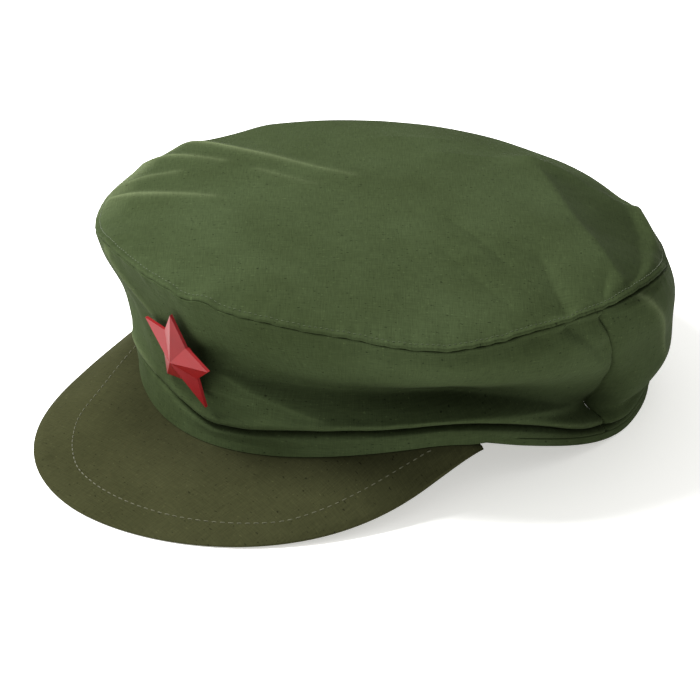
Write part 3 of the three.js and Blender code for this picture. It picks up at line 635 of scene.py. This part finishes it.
# %% [markdown]
# ## The hem
# A narrow edge turned under and sewn flat, seen as a thin band below a fine line at the side and back. In front it
# lies behind the wall's foot. It is a small rounded section carried round the opening's oval.


# %% Make the hem
def hem(angle, turn):
    """The hem's section: a box of the hem's height and depth with round corners, as a superellipse of power 5."""
    c, s = np.cos(turn), np.sin(turn)
    depth = HEM_DEPTH / 2 * (1 - np.sign(c) * np.abs(c) ** 0.4)
    height = HEM_HEIGHT / 2 * (1 + np.sign(s) * np.abs(s) ** 0.4)
    behind = 2.1 * (1 - smoothstep(np.abs(wrapped(angle)), 66, 80))
    return rim(angle) - outward(angle) * (depth + behind)[..., None] + height[..., None] * [0, 0, 1]


angle, turn = np.meshgrid(np.linspace(-180, 180, 361), np.linspace(0, 2 * np.pi, 25), indexing="ij")
points = hem(angle, turn)
uv = np.stack([angle * ROUND, turn / (2 * np.pi) * 11], -1)
hem_piece = finish_mesh("turned_hem", points.reshape(-1, 3), quads_of(np.arange(angle.size).reshape(angle.shape)).tolist(),
                        uv.reshape(-1, 2), crown_cotton, np.zeros(angle.size))
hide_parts("hem_band")

# %% [markdown]
# ## The peak
# A stiff board covered with darker cotton, flat in the middle and turned down at its sides. Its section is a thin
# blade with a rounded free edge, so one closed line of points, run along the opening's edge, makes the whole piece.


# %% Make the peak
def peak(angle, share, side):
    """A point of the peak: share 0 at the cap, 1 at the free edge, side from -1 underneath to 1 on top."""
    turn = np.abs(angle) / PEAK_HALF_ANGLE
    reach = PEAK_LENGTH * np.maximum(1 - turn**PEAK_OUTLINE_POWER, 0) ** PEAK_POINT_POWER
    slope = np.radians(PEAK_SLOPE + PEAK_TURN_DOWN * turn**2)
    half = PEAK_THICKNESS / 2
    out = reach * share
    square = side * half * (1 - PEAK_EDGE_SHARE * smoothstep(share, 0.9, 1)) - half * (1 - share)
    point = rim(angle) + outward(angle) * (out * np.cos(slope) + square * np.sin(slope))[..., None]
    point[..., 2] += -out * np.sin(slope) - GAP + square * np.cos(slope)
    return point


shares = np.concatenate([np.linspace(0, 0.9, 44), np.linspace(0.9, 0.985, 8)[1:]])
edge_turn = np.radians(np.linspace(90, -90, 9))
section_share = np.concatenate([shares, 0.985 + 0.015 * np.cos(edge_turn), shares[::-1]])
section_side = np.concatenate([np.ones(len(shares)), np.sin(edge_turn), -np.ones(len(shares))])
end = PEAK_HALF_ANGLE * PEAK_END_SHARE
columns = np.linspace(-end, end, 241)
angle, share = np.meshgrid(columns, section_share, indexing="ij")
side = np.broadcast_to(section_side, angle.shape)
points = peak(angle, share, side)
root = points[:, [0, -1]] - outward(columns[:, None] * np.ones((1, 2))) * HEM_DEPTH
points = np.concatenate([root[:, :1], points, root[:, 1:], root[:, :1]], 1)
index = np.arange(points.shape[0] * points.shape[1]).reshape(points.shape[:2])
faces = quads_of(index).tolist() + [index[0, :-1].tolist(), index[-1, :-1][::-1].tolist()]
# Painted shade on the peak: darkest at its root beside the wall, gone a little past half way out.
painted_peak_shade = np.pad(0.5 * (1 - smoothstep(share, 0, 0.55)), ((0, 0), (1, 2)))
peak_piece = finish_mesh("covered_peak", points.reshape(-1, 3), faces, points[..., :2].reshape(-1, 2), peak_cotton,
                         -painted_peak_shade.ravel())
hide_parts("peak")

# %% [markdown]
# ## Sewing thread
# The seams show as rows of short stitches. Each stitch is a bit of thread that comes up through the cloth and goes
# down again, so it is a short round bar bent into a low arch. All the stitches of a row are one mesh.


# %% Stitches along a line
def stitches(name, path, normal, length, space, radius, material):
    """Arches of thread along a line on the cloth: the way along it is cut into equal stitches, and over each the
    thread's height above the cloth is a parabola that goes under the surface at both ends."""
    steps = np.concatenate([[0], np.cumsum(np.linalg.norm(np.diff(path, axis=0), axis=1))])
    count = int(steps[-1] // (length + space))
    v = np.linspace(-1, 1, 7)
    uneven = 1 + 0.12 * np.sin(np.arange(count) * 2.4) * np.sin(np.arange(count) * 0.7)
    at = (np.arange(count)[:, None] + 0.5) * (length + space) + v[None] * (length / 2 * uneven)[:, None]
    line = np.stack([np.interp(at, steps, path[:, k]) for k in range(3)], -1)
    up = np.stack([np.interp(at, steps, normal[:, k]) for k in range(3)], -1)
    up /= np.linalg.norm(up, axis=-1, keepdims=True)
    line = line + up * (radius * (0.9 - 2.2 * v**4))[None, :, None]
    ahead = np.gradient(line, axis=1)
    ahead /= np.linalg.norm(ahead, axis=-1, keepdims=True)
    aside = np.cross(ahead, up)
    turn = np.linspace(0, 2 * np.pi, 6, endpoint=False)
    thick = radius * (1 - 0.5 * v**6)[None, :, None, None]
    ring = line[:, :, None] + thick * (aside[:, :, None] * np.cos(turn)[:, None] + up[:, :, None] * np.sin(turn)[:, None])
    index = np.arange(count * 7 * 6).reshape(count, 7, 6)
    ringed = np.concatenate([index, index[:, :, :1]], 2)
    sides = np.stack([ringed[:, :-1, :-1], ringed[:, 1:, :-1], ringed[:, 1:, 1:], ringed[:, :-1, 1:]], -1).reshape(-1, 4)
    faces = sides.tolist() + index[:, 0, ::-1].tolist() + index[:, -1].tolist()
    flat = ring.reshape(-1, 3)
    return finish_mesh(name, flat, faces, flat[:, :2], material, np.zeros(len(flat)))


def cotton_thread(name, colour):
    """Twisted sewing cotton: matt, a little lighter than the cloth, with the twist as a fine wave in the bump."""
    material, tree = new_material(name)
    spot = add(tree, "ShaderNodeTexCoord").outputs["Object"]
    twist = add(tree, "ShaderNodeTexNoise", {"Vector": spot, "Scale": 1 / (0.5 * MM), "Detail": 2.0})
    tone = add(tree, "ShaderNodeMapRange", {0: twist.outputs[0], 1: 0.3, 2: 0.7, 3: 0.75, 4: 1.2})
    mixed = add(tree, "ShaderNodeVectorMath", {0: linear(colour)[:3], 1: tone.outputs[0]}, operation="MULTIPLY")
    bump = add(tree, "ShaderNodeBump", {"Height": twist.outputs[0], "Strength": 0.5, "Distance": 0.08 * MM})
    shader = add(tree, "ShaderNodeBsdfPrincipled", {
        "Base Color": mixed.outputs[0], "Roughness": 0.8, "Normal": bump.outputs[0], "Sheen Weight": 0.2,
    })
    add(tree, "ShaderNodeOutputMaterial", {"Surface": shader.outputs[0]})
    return material


crown_thread = cotton_thread("olive sewing cotton", "414c2d")
peak_thread = cotton_thread("faded sewing cotton", "4c4d35")

line_angle = np.linspace(-180, 180, 1441)
seam_line = top(line_angle, np.full(1441, STITCH_INSET / CROWN_HALF))
inner_line = top(line_angle, np.full(1441, (STITCH_INSET + 1) / CROWN_HALF))
normal = np.cross(np.gradient(seam_line, axis=0), seam_line - inner_line)
normal *= np.sign(normal[:, 2:])
top_row = stitches("top_seam_stitches", seam_line, normal, 1.2, 0.7, 0.13, crown_thread)

# Peak stitching: angle, share of the way to the free edge
PEAK_ROW = np.array([(-44, 0.0), (-39, 0.19), (-34, 0.31), (-29, 0.43), (-23.5, 0.59), (-15, 0.69), (-8, 0.75),
                     (0, 0.755), (10, 0.762), (18, 0.765), (24, 0.762), (32, 0.755), (39, 0.64), (48, 0.44), (56, 0.2), (60, 0.0)])
line_angle = np.linspace(-44, 60, 700)
kernel = np.hanning(61)
line_share = np.interp(line_angle, PEAK_ROW[:, 0], PEAK_ROW[:, 1])
line_share = np.convolve(np.pad(line_share, 30, mode="edge"), kernel / kernel.sum(), mode="valid")
peak_line = peak(line_angle, line_share, np.ones(700))
peak_beside = peak(line_angle, line_share + 0.02, np.ones(700))
normal = np.cross(np.gradient(peak_line, axis=0), peak_beside - peak_line)
normal *= np.sign(normal[:, 2:])
normal /= np.linalg.norm(normal, axis=1, keepdims=True)
sunk = 0.08 + 0.1 * smoothstep(line_angle, 25, 45)
peak_row = stitches("peak_stitches", peak_line - normal * sunk[:, None], normal, 2.2, 0.7, 0.19, peak_thread)

# %% [markdown]
# ## Enamel and brass
# The star is pressed metal filled with glossy red enamel: a strong colour under a clear, smooth glass. The nut
# behind it is plain brass.

# %% Finish the badge
enamel, tree = new_material("red vitreous enamel")
spot = add(tree, "ShaderNodeTexCoord").outputs["Object"]
cloud = add(tree, "ShaderNodeTexNoise", {"Vector": spot, "Scale": 1 / (6 * MM), "Detail": 3.0})
tint = add(tree, "ShaderNodeMix", {0: cloud.outputs[0], 6: linear("6e080c"), 7: linear("7e0c11")}, data_type="RGBA")
gloss = add(tree, "ShaderNodeBsdfPrincipled", {"Base Color": tint.outputs[2], "Roughness": 0.42, "Specular IOR Level": 0.22})
add(tree, "ShaderNodeOutputMaterial", {"Surface": gloss.outputs[0]})

brass, tree = new_material("turned brass")
spot = add(tree, "ShaderNodeTexCoord").outputs["Object"]
marks = add(tree, "ShaderNodeTexNoise", {"Vector": spot, "Scale": 1 / (1.5 * MM), "Detail": 4.0})
dull = add(tree, "ShaderNodeMapRange", {0: marks.outputs[0], 1: 0.3, 2: 0.7, 3: 0.28, 4: 0.5})
metal = add(tree, "ShaderNodeBsdfPrincipled", {"Base Color": linear("b5924a"), "Metallic": 1.0, "Roughness": dull.outputs[0]})
add(tree, "ShaderNodeOutputMaterial", {"Surface": metal.outputs[0]})

for name, material in (("star_badge", enamel), ("badge_nut", brass)):
    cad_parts[name].data.materials.clear()
    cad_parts[name].data.materials.append(material)
print("badge materials:", enamel.name, "and", brass.name)

# %% [markdown]
# ## Floor, light and camera
# The cap lies on a plain white surface. A large soft lamp stands above and to the left of the camera, and the white
# surroundings fill the shadows.

# %% Floor, light and camera
bpy.ops.mesh.primitive_plane_add(size=30, location=(0, 0, 0))
floor = bpy.context.active_object
floor.name = "floor"
white, tree = new_material("white paper")
paper = add(tree, "ShaderNodeBsdfPrincipled", {
    "Base Color": linear("f4f4f2"), "Roughness": 0.8, "Specular IOR Level": 0.2,
    "Emission Color": linear("fffefa"), "Emission Strength": 0.5,
})
add(tree, "ShaderNodeOutputMaterial", {"Surface": paper.outputs[0]})
floor.data.materials.append(white)

world = bpy.data.worlds.new("studio")
world.use_nodes = True
world.node_tree.nodes["Background"].inputs["Color"].default_value = (1.0, 1.0, 1.0, 1.0)
world.node_tree.nodes["Background"].inputs["Strength"].default_value = 0.62
bpy.context.scene.world = world
bpy.context.scene.view_settings.view_transform = "Standard"

RIGHT = np.array([0.656059, 0.754710, 0.0])
UPWARDS = np.array([-0.330843, 0.287597, 0.898794])
BACK = np.array([0.678328, -0.589662, 0.438371])
aim = SHIFT + RIGHT * -17.3 + UPWARDS * 13.0
camera_data = bpy.data.cameras.new("camera")
camera_data.sensor_width = 36.0
camera_data.lens = 165.4
camera = bpy.data.objects.new("camera", camera_data)
bpy.context.scene.collection.objects.link(camera)
turned = Matrix(np.stack([RIGHT, UPWARDS, BACK], 1).tolist()).to_4x4()
camera.matrix_world = Matrix.Translation(((aim + BACK * 1200) * MM).tolist()) @ turned
bpy.context.scene.camera = camera


def soft_lamp(name, offset, size, power):
    """A square lamp of this size in metres, placed by metres right, up and towards the camera from the cap."""
    place = SHIFT * MM + RIGHT * offset[0] + np.array([0, 0, offset[1]]) + np.array([BACK[0], BACK[1], 0]) * offset[2]
    data = bpy.data.lights.new(name, "AREA")
    data.size = size
    data.energy = power
    lamp = bpy.data.objects.new(name, data)
    bpy.context.scene.collection.objects.link(lamp)
    aim_at = Matrix.Translation(place.tolist())
    look = (SHIFT * MM + np.array([0, 0, 0.04])) - place
    lamp.matrix_world = aim_at @ Vector(look.tolist()).to_track_quat("-Z", "Y").to_matrix().to_4x4()
    return lamp


soft_lamp("key_lamp", (-0.85, 1.2, 0.0), 0.45, 40)
print("camera at, m:", np.round(np.array(camera.matrix_world.translation), 3))
